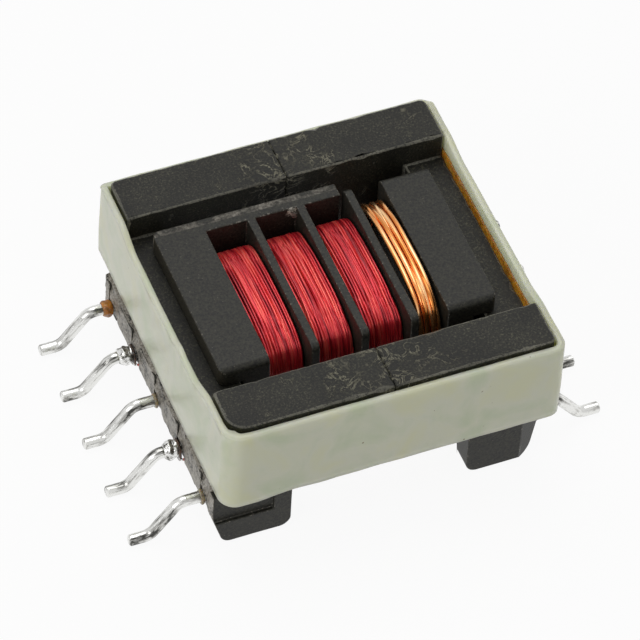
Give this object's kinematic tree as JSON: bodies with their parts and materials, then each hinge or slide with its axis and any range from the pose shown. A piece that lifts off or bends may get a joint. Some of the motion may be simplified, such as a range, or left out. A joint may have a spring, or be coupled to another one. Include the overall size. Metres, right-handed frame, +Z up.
{
  "type": "surface-mount power transformer",
  "caption": "Low-profile surface-mount transformer: taped ferrite core round a sectioned bobbin with fine and thick windings and two rows of bent round terminals.",
  "frame": {"origin": "middle of the bobbin in plan, on the board plane that the terminals stand on", "axes": "+X along the winding axis towards the thick winding, +Y along the terminal rows, +Z up from the board"},
  "size_m": [0.0296, 0.0212, 0.0109],
  "materials": {
    "ferrite": "matte sintered ferrite, dark grey, slightly rough",
    "bobbin_plastic": "satin black moulded thermoset",
    "amber_film": "amber varnish-soaked film",
    "tape": "whitish translucent polyester tape, glossy",
    "red_wire": "red enamelled fine copper wire",
    "copper_wire": "clear enamelled copper wire",
    "tinned_wire": "bright tinned round wire",
    "solder": "bright solder"
  },
  "bodies": {
    "root": {"core_half_left": "ferrite", "core_half_right": "ferrite", "bobbin": "bobbin_plastic", "film_layer": "amber_film", "tape_band": "tape", "winding_fine_1": "red_wire", "winding_fine_2": "red_wire", "winding_fine_3": "red_wire", "winding_thick": "copper_wire", "link_wire_1": "red_wire", "link_wire_2": "red_wire", "lead_fine_start": "red_wire", "lead_fine_finish": "red_wire", "lead_thick_start": "copper_wire", "lead_thick_finish": "copper_wire", "solder_fine_start": "solder", "solder_fine_finish": "solder", "solder_thick_start": "solder", "solder_thick_finish": "solder", "terminal_left_1": "tinned_wire", "terminal_left_2": "tinned_wire", "terminal_left_3": "tinned_wire", "terminal_left_4": "tinned_wire", "terminal_left_5": "tinned_wire", "terminal_right_1": "tinned_wire", "terminal_right_2": "tinned_wire", "terminal_right_3": "tinned_wire", "terminal_right_4": "tinned_wire", "terminal_right_5": "tinned_wire"}
  },
  "joints": []
}
